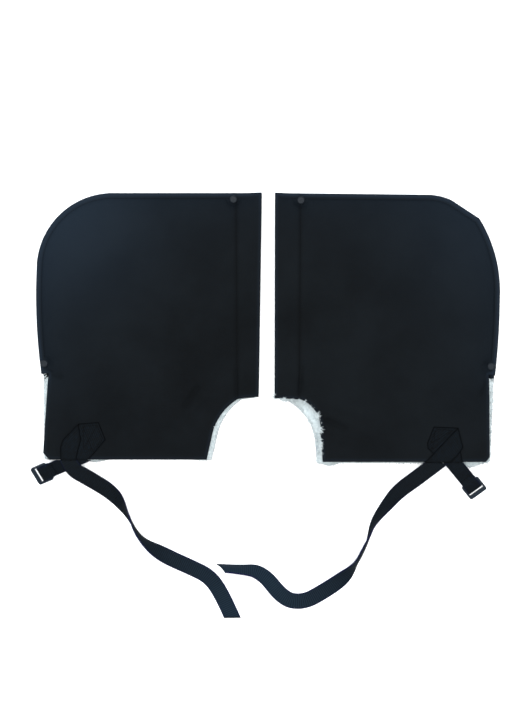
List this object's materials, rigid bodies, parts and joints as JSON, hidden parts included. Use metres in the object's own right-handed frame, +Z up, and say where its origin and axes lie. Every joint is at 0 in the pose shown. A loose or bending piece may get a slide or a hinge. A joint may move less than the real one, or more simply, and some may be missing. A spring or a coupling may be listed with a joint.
{
  "type": "handlebar muff pair",
  "caption": "Pair of padded black handlebar hand muffs with white fleece lining, curved sewn edges, rivets and webbing straps with slide buckles, lying flat.",
  "frame": {"origin": "on the table under the middle of the pair of muffs, measured without the straps", "axes": "+X across the pair towards the right muff, +Y from the hems to the top edges, +Z up out of the front panels"},
  "size_m": [0.5968, 0.5463, 0.023],
  "materials": {
    "woven_shell": "fine plain weave, faint sheen",
    "pile_lining": "short white fleece pile",
    "webbing": "ribbed woven tape",
    "thread": "twisted sewing thread",
    "buckle_plastic": "moulded, glossy",
    "rivet_metal": "black enamel"
  },
  "bodies": {
    "left_muff": {"left_back_shell": "woven_shell", "left_back_lining": "pile_lining", "left_back_hem": "woven_shell", "left_sewn_edge": "woven_shell", "left_edge_stitching": "thread", "left_front_corner_shell": "woven_shell", "left_front_corner_lining": "pile_lining", "left_top_rivet_cap": "rivet_metal", "left_top_rivet_base": "rivet_metal", "left_side_rivet_cap": "rivet_metal", "left_side_rivet_base": "rivet_metal"},
    "left_flap": {"left_front_flap_shell": "woven_shell", "left_front_flap_lining": "pile_lining", "left_front_hem": "woven_shell", "left_hem_stitching": "thread", "left_strap_anchor": "webbing", "left_anchor_stitching": "thread"},
    "left_strap": {"left_buckle_leg": "webbing", "left_strap_tail": "webbing"},
    "left_buckle": {"left_buckle": "buckle_plastic", "left_buckle_loop": "webbing"},
    "right_muff": {"right_back_shell": "woven_shell", "right_back_lining": "pile_lining", "right_back_hem": "woven_shell", "right_sewn_edge": "woven_shell", "right_edge_stitching": "thread", "right_front_corner_shell": "woven_shell", "right_front_corner_lining": "pile_lining", "right_top_rivet_cap": "rivet_metal", "right_top_rivet_base": "rivet_metal", "right_side_rivet_cap": "rivet_metal", "right_side_rivet_base": "rivet_metal"},
    "right_flap": {"right_front_flap_shell": "woven_shell", "right_front_flap_lining": "pile_lining", "right_front_hem": "woven_shell", "right_hem_stitching": "thread", "right_strap_anchor": "webbing", "right_anchor_stitching": "thread"},
    "right_strap": {"right_buckle_leg": "webbing", "right_strap_tail": "webbing"},
    "right_buckle": {"right_buckle": "buckle_plastic", "right_buckle_loop": "webbing"}
  },
  "joints": [
    {"name": "left_flap_lift", "type": "hinge", "parent": "left_muff", "child": "left_flap", "pos_m": [-0.03981, 0.16021, 0.019], "axis": [-0.7555, -0.6551, 0], "range_deg": [0, 60]},
    {"name": "left_strap_lift", "type": "hinge", "parent": "left_flap", "child": "left_strap", "pos_m": [-0.2467, -0.1654, 0.0216], "axis": [-1, 0, 0], "range_deg": [0, 90]},
    {"name": "left_buckle_tilt", "type": "hinge", "parent": "left_strap", "child": "left_buckle", "pos_m": [-0.27504, -0.17821, 0.01433], "axis": [-0.4309, 0.8179, 0.3814], "range_deg": [0, 75]},
    {"name": "right_flap_lift", "type": "hinge", "parent": "right_muff", "child": "right_flap", "pos_m": [0.037, 0.15913, 0.019], "axis": [-0.7531, 0.6579, 0], "range_deg": [0, 60]},
    {"name": "right_strap_lift", "type": "hinge", "parent": "right_flap", "child": "right_strap", "pos_m": [0.2344, -0.1684, 0.0216], "axis": [-1, 0, 0], "range_deg": [0, 90]},
    {"name": "right_buckle_tilt", "type": "hinge", "parent": "right_strap", "child": "right_buckle", "pos_m": [0.25355, -0.19162, 0.01275], "axis": [-0.7816, -0.5932, -0.1928], "range_deg": [0, 75]},
    {"name": "pair_spacing", "type": "slide", "parent": "left_muff", "child": "right_muff", "axis": [1, 0, 0], "range_m": [0, 0.3]}
  ]
}
